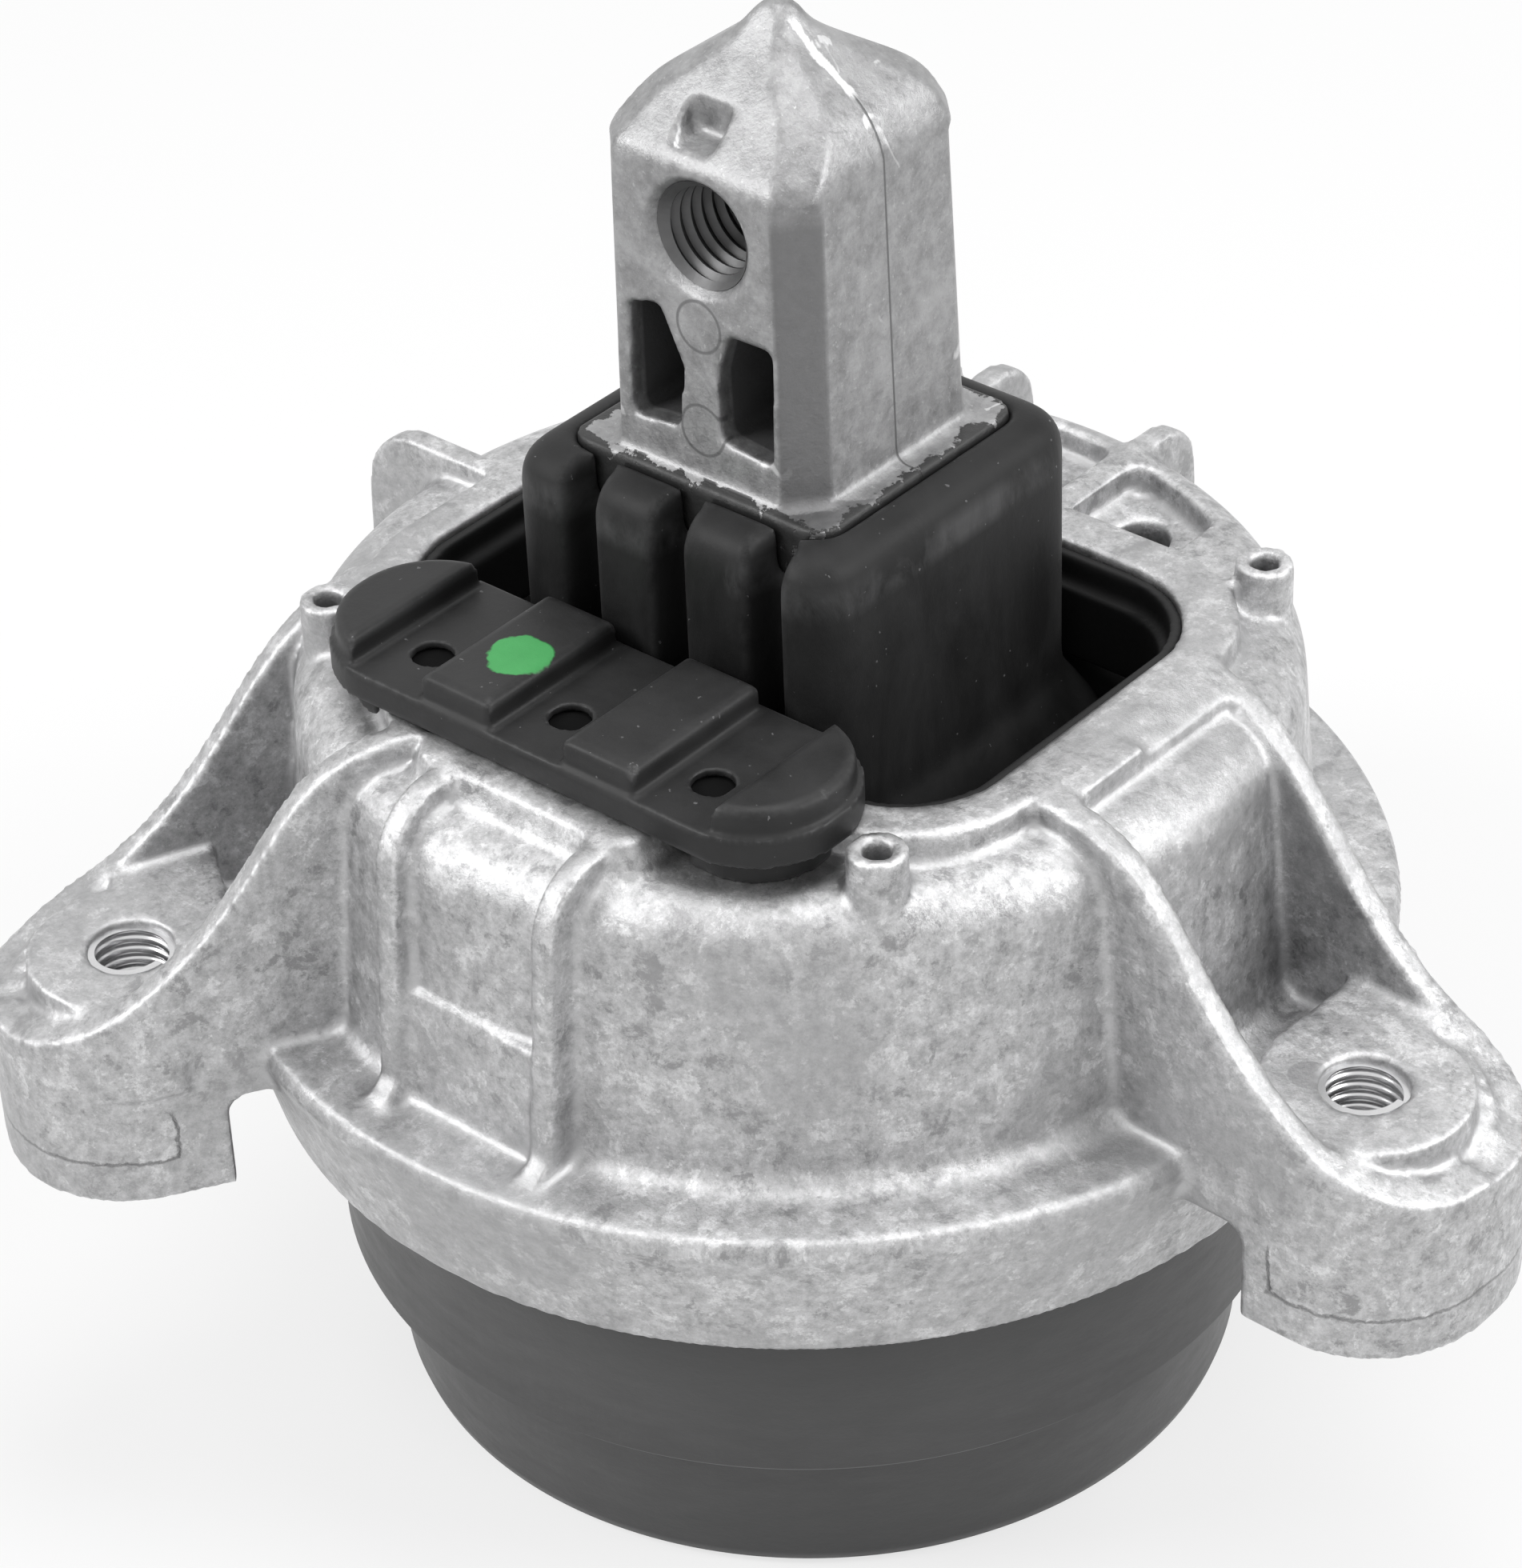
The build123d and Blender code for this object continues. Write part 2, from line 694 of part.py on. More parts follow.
# Travel stop: moulded rubber pad on the front of the rim
stop_hole_places = [(-stop_hole_pitch, stop_hole_y), (0, stop_hole_y), (stop_hole_pitch, stop_hole_y)]
strip_length = stop_length - 2 * stop_strip_margin
strip_width = stop_width - 2 * stop_strip_margin
with BuildPart() as travel_stop:
    with BuildSketch(Plane.XY.offset(rim_z)) as stop_plan:
        with Locations((0, stop_centre_y)):
            RectangleRounded(stop_length, stop_width, stop_end_round)
    extrude(amount=stop_flat_z - rim_z)
    for low_x, high_x in (
        (-stop_length / 2, -stop_end_from),
        (-stop_block_to, -stop_block_from),
        (stop_block_from, stop_block_to),
        (stop_end_from, stop_length / 2),
    ):
        with BuildSketch(Plane.XY.offset(stop_flat_z)) as raised:
            with Locations(((low_x + high_x) / 2, stop_centre_y)):
                Rectangle(high_x - low_x, stop_width)
            with Locations((0, stop_centre_y)):
                RectangleRounded(
                    stop_length - stop_edge_inset,
                    stop_width - stop_edge_inset,
                    stop_end_round - stop_edge_inset / 2,
                    mode=Mode.INTERSECT,
                )
        extrude(amount=stop_raised_z - stop_flat_z)
        top_face = travel_stop.faces(Select.LAST).filter_by(Axis.Z).sort_by(Axis.Z)[-1]
        fillet(top_face.edges(), stop_block_round)
    # The ends reach down past the rim to the bell's shoulder
    for side in (-1, 1):
        with BuildSketch(Plane.XY.offset(rim_z)) as lug:
            with Locations((0, stop_centre_y)):
                RectangleRounded(
                    stop_length - 2 * stop_lug_inset,
                    stop_width - 2 * stop_lug_inset,
                    stop_end_round - stop_lug_inset,
                )
            with Locations((side * (stop_lug_x + stop_length) / 2, stop_centre_y)):
                Rectangle(stop_length - stop_lug_x, stop_width, mode=Mode.INTERSECT)
        extrude(amount=-(rim_z - bell_top_z))
    for place in stop_hole_places:
        with Locations((*place, stop_flat_z)):
            Hole(stop_hole_radius, depth=stop_flat_z - stop_strip_z - stop_strip_height)
    with BuildSketch(Plane.XY.offset(stop_strip_z)):
        with Locations((0, stop_centre_y)):
            RectangleRounded(strip_length, strip_width, stop_strip_corner)
    extrude(amount=stop_strip_height, mode=Mode.SUBTRACT)
    add(housing.part, mode=Mode.SUBTRACT)
    add(window_buffer.part, mode=Mode.SUBTRACT)

save(travel_stop.part, "travel_stop")

# Stop strip: punched steel strip moulded into the travel stop
with BuildPart() as stop_strip:
    with BuildSketch(Plane.XY.offset(stop_strip_z)):
        with Locations((0, stop_centre_y)):
            RectangleRounded(strip_length, strip_width, stop_strip_corner)
    extrude(amount=stop_strip_height)

save(stop_strip.part, "stop_strip")

# Lower cup: deep-drawn and black coated, its top edge held by the rolled lip
with BuildPart() as lower_cup:
    with BuildSketch(Plane.XZ) as cup:
        with BuildLine():
            Polyline(
                (0, 0),
                (cup_radius, 0),
                (cup_radius, cup_band_z),
                (cup_band_radius, cup_band_z),
                (cup_band_radius, cup_top_z - cup_flange),
                (clamp_radius, cup_top_z - cup_flange),
                (clamp_radius, cup_top_z),
                (cup_band_radius - cup_wall, cup_top_z),
                (cup_band_radius - cup_wall, cup_band_z + cup_wall),
                (cup_radius - cup_wall, cup_band_z + cup_wall),
                (cup_radius - cup_wall, cup_floor),
                (0, cup_floor),
                close=True,
            )
        make_face()
        fillet(corner(cup, cup_radius, 0), cup_edge_round)
        fillet(corner(cup, cup_radius - cup_wall, cup_floor), cup_floor_round)
        fillet(corner(cup, cup_band_radius, cup_band_z), cup_step_round)
    revolve(axis=Axis.Z)

save(lower_cup.part, "lower_cup")

# Rolling diaphragm: thin rubber bellows that closes the lower chamber
fold_z = bead_top_z - diaphragm_drop
inner_radius = diaphragm_radius - diaphragm_wall
with BuildPart() as diaphragm:
    with BuildSketch(Plane.XZ) as bellows:
        with BuildLine():
            Polyline(
                (clamp_radius, cup_top_z),
                (clamp_radius, bead_top_z),
                (inner_radius, bead_top_z),
                (inner_radius, fold_z),
                (inner_radius - diaphragm_fold, fold_z),
                (inner_radius - diaphragm_fold - diaphragm_slope, fold_z + diaphragm_rise),
                (0, fold_z + diaphragm_rise),
                (0, fold_z + diaphragm_rise - diaphragm_wall),
                (
                    inner_radius - diaphragm_fold - diaphragm_slope + diaphragm_wall / 2,
                    fold_z + diaphragm_rise - diaphragm_wall,
                ),
                (inner_radius - diaphragm_fold + diaphragm_wall / 2, fold_z - diaphragm_wall),
                (diaphragm_radius - diaphragm_wall, fold_z - diaphragm_wall),
                (diaphragm_radius, fold_z),
                (diaphragm_radius, cup_top_z),
                close=True,
            )
        make_face()
    revolve(axis=Axis.Z)

save(diaphragm.part, "diaphragm")

# Channel plates: the lower one carries the long fluid channel, and both are pierced
# over the decoupler
with BuildPart() as channel_plate_lower:
    with BuildSketch(Plane.XY.offset(bead_top_z)):
        Circle(clamp_radius)
    extrude(amount=lower_plate_height)
    with BuildSketch(Plane.XY.offset(lower_plate_top_z - channel_depth)):
        Circle(channel_radius + channel_width / 2)
        Circle(channel_radius - channel_width / 2, mode=Mode.SUBTRACT)
        with Locations((channel_radius, 0)):
            Rectangle(2 * channel_width, channel_dam, mode=Mode.SUBTRACT)
    extrude(amount=channel_depth, mode=Mode.SUBTRACT)
    with BuildSketch(Plane.XY.offset(lower_plate_top_z - decoupler_seat)):
        Circle(decoupler_radius + decoupler_play)
    extrude(amount=decoupler_seat, mode=Mode.SUBTRACT)
    for ring_radius, count in hole_rings:
        with BuildSketch(Plane.XY.offset(bead_top_z)):
            with PolarLocations(ring_radius, count):
                Circle(plate_hole_radius)
        extrude(amount=lower_plate_height, mode=Mode.SUBTRACT)
    # Port from the channel's far end to the lower chamber
    with Locations((*port_place, lower_plate_top_z)):
        Hole(port_radius)

save(channel_plate_lower.part, "channel_plate_lower")

with BuildPart() as channel_plate_upper:
    with BuildSketch(Plane.XY.offset(lower_plate_top_z)):
        Circle(clamp_radius)
    extrude(amount=upper_plate_top_z - lower_plate_top_z)
    with BuildSketch(Plane.XY.offset(lower_plate_top_z)):
        Circle(decoupler_radius + decoupler_play)
    extrude(amount=decoupler_seat, mode=Mode.SUBTRACT)
    for ring_radius, count in hole_rings:
        with BuildSketch(Plane.XY.offset(lower_plate_top_z)):
            with PolarLocations(ring_radius, count):
                Circle(plate_hole_radius)
        extrude(amount=upper_plate_top_z - lower_plate_top_z, mode=Mode.SUBTRACT)
    # Port from the upper chamber to the channel's near end, inside the spring ring
    with Locations((port_place[0], -port_place[1], upper_plate_top_z)):
        Hole(port_radius)

save(channel_plate_upper.part, "channel_plate_upper")

# Decoupler: loose rubber disc trapped between the two plates
with BuildPart() as decoupler:
    with BuildSketch(Plane.XY.offset(lower_plate_top_z - decoupler_height / 2)):
        Circle(decoupler_radius)
    extrude(amount=decoupler_height)

save(decoupler.part, "decoupler")
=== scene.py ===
from math import cos, pi, radians, sin

import bmesh
import bpy
from mathutils import Matrix, Vector


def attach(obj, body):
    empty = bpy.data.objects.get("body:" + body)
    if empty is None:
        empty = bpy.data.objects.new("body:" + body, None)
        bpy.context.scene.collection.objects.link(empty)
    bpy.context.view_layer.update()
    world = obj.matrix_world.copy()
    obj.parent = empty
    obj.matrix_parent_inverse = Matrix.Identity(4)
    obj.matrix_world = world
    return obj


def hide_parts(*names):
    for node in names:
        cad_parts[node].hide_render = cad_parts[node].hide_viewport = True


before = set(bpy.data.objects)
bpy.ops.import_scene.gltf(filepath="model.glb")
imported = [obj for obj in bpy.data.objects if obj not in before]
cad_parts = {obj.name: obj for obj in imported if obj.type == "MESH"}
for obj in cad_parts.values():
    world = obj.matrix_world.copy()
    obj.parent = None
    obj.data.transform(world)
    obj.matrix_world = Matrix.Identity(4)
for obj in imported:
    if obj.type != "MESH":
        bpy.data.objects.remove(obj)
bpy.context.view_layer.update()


# Lower cup. A deep-drawn cup with one step in its wall, finished with a satin black coating.
# Its top flange is clamped inside the housing, so only the band and the bottom show.
mm = 0.001
CUP_PROFILE = (
    (0.0, 3.0), (46.0, 3.0), (49.6, 6.0), (49.6, 22.6), (55.5, 22.9), (55.5, 49.4),
    (60.0, 49.4), (60.0, 47.9), (57.9, 47.6), (57.9, 21.3), (57.2, 20.5),
    (52.6, 20.4), (52.0, 19.8), (52.0, 2.4), (51.6, 1.1), (50.6, 0.25), (49.2, 0.0), (0.0, 0.0),
)
CUP_SEGMENTS = 192
CUP_STEP_FOOT = (20.0, 20.4)
CUP_STEP_TOP = (21.3, 20.7)
CUP_STEP_HIGHLIGHT = (0.13, 0.13, 0.132)


def new_piece(name, bm):
    """Make an object at the origin from a bmesh, with its place in its mesh."""
    mesh = bpy.data.meshes.new(name)
    bm.to_mesh(mesh)
    bm.free()
    piece = bpy.data.objects.new(name, mesh)
    bpy.context.scene.collection.objects.link(piece)
    return piece


def smooth(piece, angle):
    """Shade a piece smooth, but keep its edges sharper than an angle."""
    for face in piece.data.polygons:
        face.use_smooth = True
    piece.data.set_sharp_from_angle(angle=radians(angle))


def turned(name, profile, segments):
    """Spin an open (radius, height) profile in mm, from axis to axis, round Z."""
    bm = bmesh.new()
    corners = [bm.verts.new((r * mm, 0, z * mm)) for r, z in profile]
    edges = [bm.edges.new(pair) for pair in zip(corners, corners[1:])]
    bmesh.ops.spin(
        bm, geom=corners + edges, cent=(0, 0, 0), axis=(0, 0, 1),
        angle=2 * pi, steps=segments, use_merge=True,
    )
    bmesh.ops.remove_doubles(bm, verts=bm.verts, dist=1e-6)
    bmesh.ops.recalc_face_normals(bm, faces=bm.faces)
    return new_piece(name, bm)


class Finish:
    """A procedural material under construction, on Object coordinates."""

    def __init__(self, name, metallic=0.0, roughness=0.5, specular=0.5):
        self.material = bpy.data.materials.new(name)
        self.material.use_nodes = True
        self.nodes = self.material.node_tree.nodes
        self.links = self.material.node_tree.links
        self.shader = self.nodes["Principled BSDF"]
        self.shader.inputs["Metallic"].default_value = metallic
        self.shader.inputs["Roughness"].default_value = roughness
        self.shader.inputs["Specular IOR Level"].default_value = specular
        self.place = self.nodes.new("ShaderNodeTexCoord").outputs["Object"]
        self.shade = None

    def link(self, source, target):
        self.links.new(source, target)

    def noise(self, scale, detail=4.0, rough=0.55, stretch=(1, 1, 1), distortion=0.0):
        """A cloudy pattern, finer with a larger scale, from 0 to 1."""
        mapping = self.nodes.new("ShaderNodeMapping")
        mapping.inputs["Scale"].default_value = stretch
        self.link(self.place, mapping.inputs["Vector"])
        noise = self.nodes.new("ShaderNodeTexNoise")
        noise.inputs["Scale"].default_value = scale
        noise.inputs["Detail"].default_value = detail
        noise.inputs["Roughness"].default_value = rough
        noise.inputs["Distortion"].default_value = distortion
        self.link(mapping.outputs["Vector"], noise.inputs["Vector"])
        return noise.outputs["Fac"]

    def ramp(self, source, low, high, start=0.0, end=1.0):
        """Map a value between two levels onto a range, held flat beyond them."""
        node = self.nodes.new("ShaderNodeMapRange")
        node.inputs["From Min"].default_value = low
        node.inputs["From Max"].default_value = high
        node.inputs["To Min"].default_value = start
        node.inputs["To Max"].default_value = end
        self.link(source, node.inputs["Value"])
        return node.outputs["Result"]

    def math(self, kind, first, second, clamp=False):
        node = self.nodes.new("ShaderNodeMath")
        node.operation = kind
        node.use_clamp = clamp
        for socket, value in zip(node.inputs, (first, second)):
            if isinstance(value, (int, float)):
                socket.default_value = value
            else:
                self.link(value, socket)
        return node.outputs["Value"]

    def mix(self, amount, first, second):
        """Mix two colours, each a socket or an (r, g, b), by a socket."""
        node = self.nodes.new("ShaderNodeMix")
        node.data_type = "RGBA"
        self.link(amount, node.inputs[0])
        for socket, value in zip([s for s in node.inputs if s.type == "RGBA"], (first, second)):
            if isinstance(value, tuple):
                socket.default_value = (*value, 1)
            else:
                self.link(value, socket)
        return [s for s in node.outputs if s.type == "RGBA"][0]

    def grey(self, amount, low, high):
        """Mix two greys, each with a trace of blue, by a socket."""
        return self.mix(amount, (low, low, low * 1.01), (high, high, high * 1.01))

    def colour(self, source):
        """Start the colour of the finish."""
        self.shade = source
        self.link(source, self.shader.inputs["Base Color"])

    def tint(self, amount, colour, share=1.0):
        """Lay a colour over the finish so far, as strongly as an amount from 0 to 1 says."""
        if share < 1:
            amount = self.math("MULTIPLY", amount, share)
        self.colour(self.mix(amount, self.shade, colour))

    def roughness(self, source):
        self.link(source, self.shader.inputs["Roughness"])

    def bump(self, source, strength, depth):
        """Raise the surface by a pattern, with its depth in mm, over the bumps so far."""
        node = self.nodes.new("ShaderNodeBump")
        node.inputs["Strength"].default_value = strength
        node.inputs["Distance"].default_value = depth * mm
        self.link(source, node.inputs["Height"])
        old = self.shader.inputs["Normal"].links
        if old:
            self.link(old[0].from_socket, node.inputs["Normal"])
        self.link(node.outputs["Normal"], self.shader.inputs["Normal"])

    def edges(self, low, high):
        """How much a spot stands out as an edge, or lies in a fold where high is below low."""
        geometry = self.nodes.new("ShaderNodeNewGeometry")
        return self.ramp(geometry.outputs["Pointiness"], low, high)

    def axis(self, letter):
        """Where a spot lies along X, Y or Z, in mm."""
        split = self.nodes.new("ShaderNodeSeparateXYZ")
        self.link(self.place, split.inputs["Vector"])
        return self.math("DIVIDE", split.outputs[letter], mm)

    def along(self, direction):
        """Where a spot lies along a direction, in mm."""
        total = 0.0
        for letter, part in zip("XYZ", direction):
            total = self.math("ADD", self.math("MULTIPLY", self.axis(letter), part), total)
        return total

    def height(self, low, high):
        """How far a spot lies between two heights in mm, from 0 to 1."""
        return self.ramp(self.axis("Z"), low, high)

    def away(self, letters, centre):
        """How far a spot lies from a point in mm, along the named axes alone."""
        total = 0.0
        for letter, middle in zip(letters, centre):
            step = self.math("SUBTRACT", self.axis(letter), middle)
            total = self.math("ADD", self.math("MULTIPLY", step, step), total)
        return self.math("SQRT", total, 0.0)

    def apart(self, source, level):
        """How far a value lies from a level, to either side."""
        return self.math("ABSOLUTE", self.math("SUBTRACT", source, level), 0.0)

    def near(self, source, level, half, soft):
        """1 where a value lies within a half width of a level, fading to 0 past it."""
        return self.ramp(self.apart(source, level), half, half + soft, 1.0, 0.0)

    def both(self, *amounts):
        """The product of several amounts between 0 and 1."""
        total = amounts[0]
        for amount in amounts[1:]:
            total = self.math("MULTIPLY", total, amount, clamp=True)
        return total


def wear(piece, finish):
    """Give a piece one material all over."""
    piece.data.materials.clear()
    piece.data.materials.append(finish.material)


coating = Finish("satin_black_coating", roughness=0.46, specular=0.35)
cloud = coating.noise(26, detail=3.0)
grain = coating.noise(1500, detail=3.0)
scuff = coating.noise(140, detail=6.0, rough=0.7, stretch=(1, 1, 4))
coating.colour(coating.grey(cloud, 0.048, 0.068))
# A painted highlight runs along the step in the wall.
step_highlight = coating.both(coating.height(*CUP_STEP_FOOT), coating.height(*CUP_STEP_TOP))
coating.tint(step_highlight, CUP_STEP_HIGHLIGHT)
coating.roughness(coating.ramp(scuff, 0.3, 0.75, 0.36, 0.5))
coating.bump(grain, 0.12, 0.2)
coating.bump(scuff, 0.08, 0.4)

cup = turned("lower_cup_drawn", CUP_PROFILE, CUP_SEGMENTS)
smooth(cup, angle=50)
wear(cup, coating)
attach(cup, "root")
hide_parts("lower_cup")


# Fluid side. Two cast channel plates, the loose decoupler disc between them and the thin
# rubber diaphragm below, all clamped in the stack under the spring and out of sight.
plate_metal = Finish("channel_plate_metal", metallic=0.9, roughness=0.45)
plate_metal.colour(plate_metal.grey(plate_metal.noise(220), 0.5, 0.62))
plate_metal.bump(plate_metal.noise(1200), 0.2, 0.2)
thin_rubber = Finish("thin_rubber", roughness=0.6)
thin_rubber.colour(thin_rubber.grey(thin_rubber.noise(180), 0.024, 0.036))
thin_rubber.bump(thin_rubber.noise(1400), 0.2, 0.2)
for node in ("channel_plate_lower", "channel_plate_upper", "spring_ring"):
    wear(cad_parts[node], plate_metal)
for node in ("diaphragm", "decoupler"):
    wear(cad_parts[node], thin_rubber)


# Main spring. One block of black rubber, moulded round the core with three open grooves on
# its front, that flares into a cone bonded inside the spring ring.
LIGHT_BAND_HEIGHT = 119.4
LIGHT_BAND_GREY = (0.07, 0.07, 0.071)
BLOCK_WORN_GREY = (0.075, 0.075, 0.076)
LINT_GREY = (0.12, 0.12, 0.122)


def merged_copy(node, name):
    """Copy a CAD node with its loose triangles joined."""
    bm = bmesh.new()
    bm.from_mesh(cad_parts[node].data)
    bmesh.ops.remove_doubles(bm, verts=bm.verts, dist=2e-6)
    return new_piece(name, bm)


def bake(piece):
    """Make a piece's modifiers its mesh."""
    bpy.context.view_layer.update()
    shown = piece.evaluated_get(bpy.context.evaluated_depsgraph_get())
    baked = bpy.data.meshes.new_from_object(shown)
    baked.name = piece.name
    piece.modifiers.clear()
    piece.data = baked


def round_off(piece, voxel, passes, triangles):
    """Give a piece one even skin, with its edges rounded as a mould leaves them.

    The size of the skin's cells is in mm, and the skin is thinned to a number of triangles.
    """
    remesh = piece.modifiers.new("skin", "REMESH")
    remesh.mode = "VOXEL"
    remesh.voxel_size = voxel * mm
    soften = piece.modifiers.new("soften", "SMOOTH")
    soften.factor = 0.5
    soften.iterations = passes
    bake(piece)
    count = sum(len(face.vertices) - 2 for face in piece.data.polygons)
    if count > triangles:
        thin = piece.modifiers.new("thin", "DECIMATE")
        thin.ratio = triangles / count
        bake(piece)
    for face in piece.data.polygons:
        face.use_smooth = True


block_rubber = Finish("block_rubber", roughness=0.56, specular=0.24)
flow = block_rubber.noise(95, detail=6.0, rough=0.65, stretch=(1, 1, 0.45), distortion=0.4)
dust = block_rubber.noise(420, detail=5.0, rough=0.7)
lint = block_rubber.noise(1150, detail=2.0, rough=0.5)
block_rubber.colour(block_rubber.grey(block_rubber.ramp(flow, 0.35, 0.75), 0.011, 0.027))
# A lighter band runs round the block just under its top.
light_band = block_rubber.both(
    block_rubber.near(block_rubber.axis("Z"), LIGHT_BAND_HEIGHT, 0.9, 1.6),
    block_rubber.ramp(flow, 0.42, 0.62),
)
block_rubber.tint(light_band, LIGHT_BAND_GREY)
worn = block_rubber.both(block_rubber.edges(0.515, 0.58), block_rubber.ramp(dust, 0.42, 0.6))
block_rubber.tint(worn, BLOCK_WORN_GREY)
block_rubber.tint(block_rubber.ramp(lint, 0.735, 0.76), LINT_GREY)
block_rubber.roughness(block_rubber.ramp(flow, 0.3, 0.7, 0.46, 0.64))
block_rubber.bump(flow, 0.2, 0.8)
block_rubber.bump(dust, 0.2, 0.25)

spring = merged_copy("main_spring", "main_spring_moulded")
round_off(spring, voxel=0.7, passes=24, triangles=150000)
wear(spring, block_rubber)
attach(spring, "root")
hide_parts("main_spring")


# Core. A die-cast aluminium stalk on a plate, blasted to an even grey, with a tapped
# cross hole, a notch above it and two core-print pockets below.
HOLE_HEIGHT = 154.2
HOLE_OFFSET = 0.3
HOLE_FACE = -14.5
HOLE_DEPTH = 24.0
HOLE_CUTTER_LEAD = 4
TAPPED_ROOT = 6.0
TAPPED_CREST = 5.25
TAPPED_WALL = 0.25
TAPPED_PITCH = 1.75
TAPPED_TURNS = 13
TAPPED_LEAD = 1.1
TAPPED_MOUTH = 7.0
TAPPED_SHAPE = ((0.0, 0.0), (0.12, 0.0), (0.5, 1.0), (0.62, 1.0))
MOUTH_CUTTER_LEAD = 3
MOUTH_CUTTER_DEPTH = 2
THREAD_STEPS = 48

CORE_PLATE_TOP = 125.0
CORE_PLATE_HALF = (18.4, 17.3)
CORE_PLATE_MIDDLE = 0.4
CORE_PLATE_GREY = (0.12, 0.12, 0.12)
CREPT_RUBBER_BLACK = (0.02, 0.02, 0.02)
BLAST_CLOUD = (0.44, 0.44, 0.444)
BLAST_NICK = (0.58, 0.58, 0.585)
BLAST_GLINT = (0.6, 0.6, 0.606)
BLAST_PORE = (0.2, 0.2, 0.202)
BLAST_EDGE = (0.56, 0.56, 0.565)
TARNISH_BLACK = (0.03, 0.03, 0.03)
CORNER_FACING = (0.777, -0.629, 0.035)
CORNER_REACH = (22.55, 22.85)
CORNER_TOP = (161.5, 158.0)
CORNER_GREY = (0.16, 0.16, 0.162)
PIT_SIDES = (11.6, 11.0)
PIT_FRONT = (-13.2, -12.5)
PIT_BACK = (13.6, 13.0)
PIT_FOOT = (127.5, 128.3)
PIT_TOP = (161.8, 161.2)
PIT_PAINTED_SHADE = (0.07, 0.07, 0.071)
PARTING_PLACE = 0.2
PARTING_INNER = (9.6, 10.4)
PARTING_GREY = (0.14, 0.14, 0.142)
GROUND_HALF = (0.42, 0.62)
GROUND_FOOT = (163.0, 164.5)
GROUND_LEFT = (1.6, 2.6)
GROUND_RIGHT = (10.4, 9.6)
GROUND_BRIGHT = (0.74, 0.74, 0.745)
CORE_SHOTS = ((0.25, 143.7), (0.45, 131.1))
CORE_SHOT_RADIUS = 3.0
CORE_SHOT_GREY = (0.13, 0.13, 0.132)
CORE_FRONT = (-13.4, -13.8)


def thread_solid(name, crest, root, wall, pitch, turns, shape):
    """A sleeve along Z with an inner thread, spun as one helix from its profile in mm.

    The shape lists (share of a pitch, share of the depth) along one turn of the thread.
    """
    bm = bmesh.new()
    inner = []
    for turn in range(turns):
        for share, depth in shape:
            radius = crest + (root - crest) * depth
            inner.append((radius, (turn + share) * pitch))
    inner.append((crest + (root - crest) * shape[0][1], turns * pitch))
    outer = [(wall, turn * pitch) for turn in range(turns, -1, -1)]
    loop = [bm.verts.new((r * mm, 0, z * mm)) for r, z in inner + outer]
    edges = [bm.edges.new(pair) for pair in zip(loop, loop[1:] + loop[:1])]
    bmesh.ops.spin(
        bm, geom=loop + edges, cent=(0, 0, 0), axis=(0, 0, 1),
        dvec=(0, 0, pitch * mm / THREAD_STEPS), angle=2 * pi, steps=THREAD_STEPS,
        use_merge=False,
    )
    bmesh.ops.remove_doubles(bm, verts=bm.verts, dist=2e-6)
    ends = [edge for edge in bm.edges if edge.is_boundary]
    bmesh.ops.holes_fill(bm, edges=ends, sides=0)
    bmesh.ops.recalc_face_normals(bm, faces=bm.faces)
    return new_piece(name, bm)


def cut(piece, cutter):
    """Take one mesh away from another."""
    carve = piece.modifiers.new("cut", "BOOLEAN")
    carve.operation = "DIFFERENCE"
    carve.solver = "EXACT"
    carve.object = cutter
    bake(piece)
    bpy.data.objects.remove(cutter)


def hole_cutter(name, radius, end_radius, lead, depth, segments):
    """A round or tapered cutter on the axis of the core's hole.

    It starts a lead in mm before the face and ends at a depth in mm behind it.
    """
    bm = bmesh.new()
    bmesh.ops.create_cone(
        bm, cap_ends=True, segments=segments,
        radius1=radius * mm, radius2=end_radius * mm, depth=(lead + depth) * mm,
    )
    middle = Vector((HOLE_OFFSET, HOLE_FACE + (depth - lead) / 2, HOLE_HEIGHT)) * mm
    bmesh.ops.transform(
        bm, matrix=Matrix.Translation(middle) @ Matrix.Rotation(radians(-90), 4, "X"),
        verts=bm.verts,
    )
    return new_piece(name, bm)


core_metal = Finish("blasted_core_metal", metallic=0.7, roughness=0.42)
core_cloud = core_metal.noise(62, detail=5.0, rough=0.6)
core_grain = core_metal.noise(1500, detail=4.0, rough=0.7)
core_spots = core_metal.noise(430, detail=7.0, rough=0.75)
core_nicks = core_metal.noise(210, detail=3.0, rough=0.6, stretch=(1, 1, 0.35), distortion=0.8)
core_metal.colour(core_metal.grey(core_metal.ramp(core_spots, 0.36, 0.66), 0.235, 0.395))
core_metal.tint(core_metal.ramp(core_cloud, 0.5, 0.66), BLAST_CLOUD, 0.6)
core_metal.tint(core_metal.ramp(core_nicks, 0.66, 0.69), BLAST_NICK)
core_metal.tint(core_metal.ramp(core_grain, 0.6, 0.72), BLAST_GLINT, 0.5)
core_metal.tint(core_metal.ramp(core_grain, 0.4, 0.28), BLAST_PORE, 0.5)

# The cut corner at the front right is darker.
corner = core_metal.ramp(core_metal.along(CORNER_FACING), *CORNER_REACH)
core_metal.tint(core_metal.both(corner, core_metal.height(*CORNER_TOP)), CORNER_GREY, 0.8)

# The core-print pockets and the bore are painted dark inside, as painted shade.
off_middle = core_metal.apart(core_metal.axis("X"), 0.0)
pit_shade = core_metal.both(
    core_metal.ramp(off_middle, *PIT_SIDES),
    core_metal.ramp(core_metal.axis("Y"), *PIT_FRONT),
    core_metal.ramp(core_metal.axis("Y"), *PIT_BACK),
    core_metal.height(*PIT_FOOT), core_metal.height(*PIT_TOP),
)
core_metal.tint(pit_shade, PIT_PAINTED_SHADE)

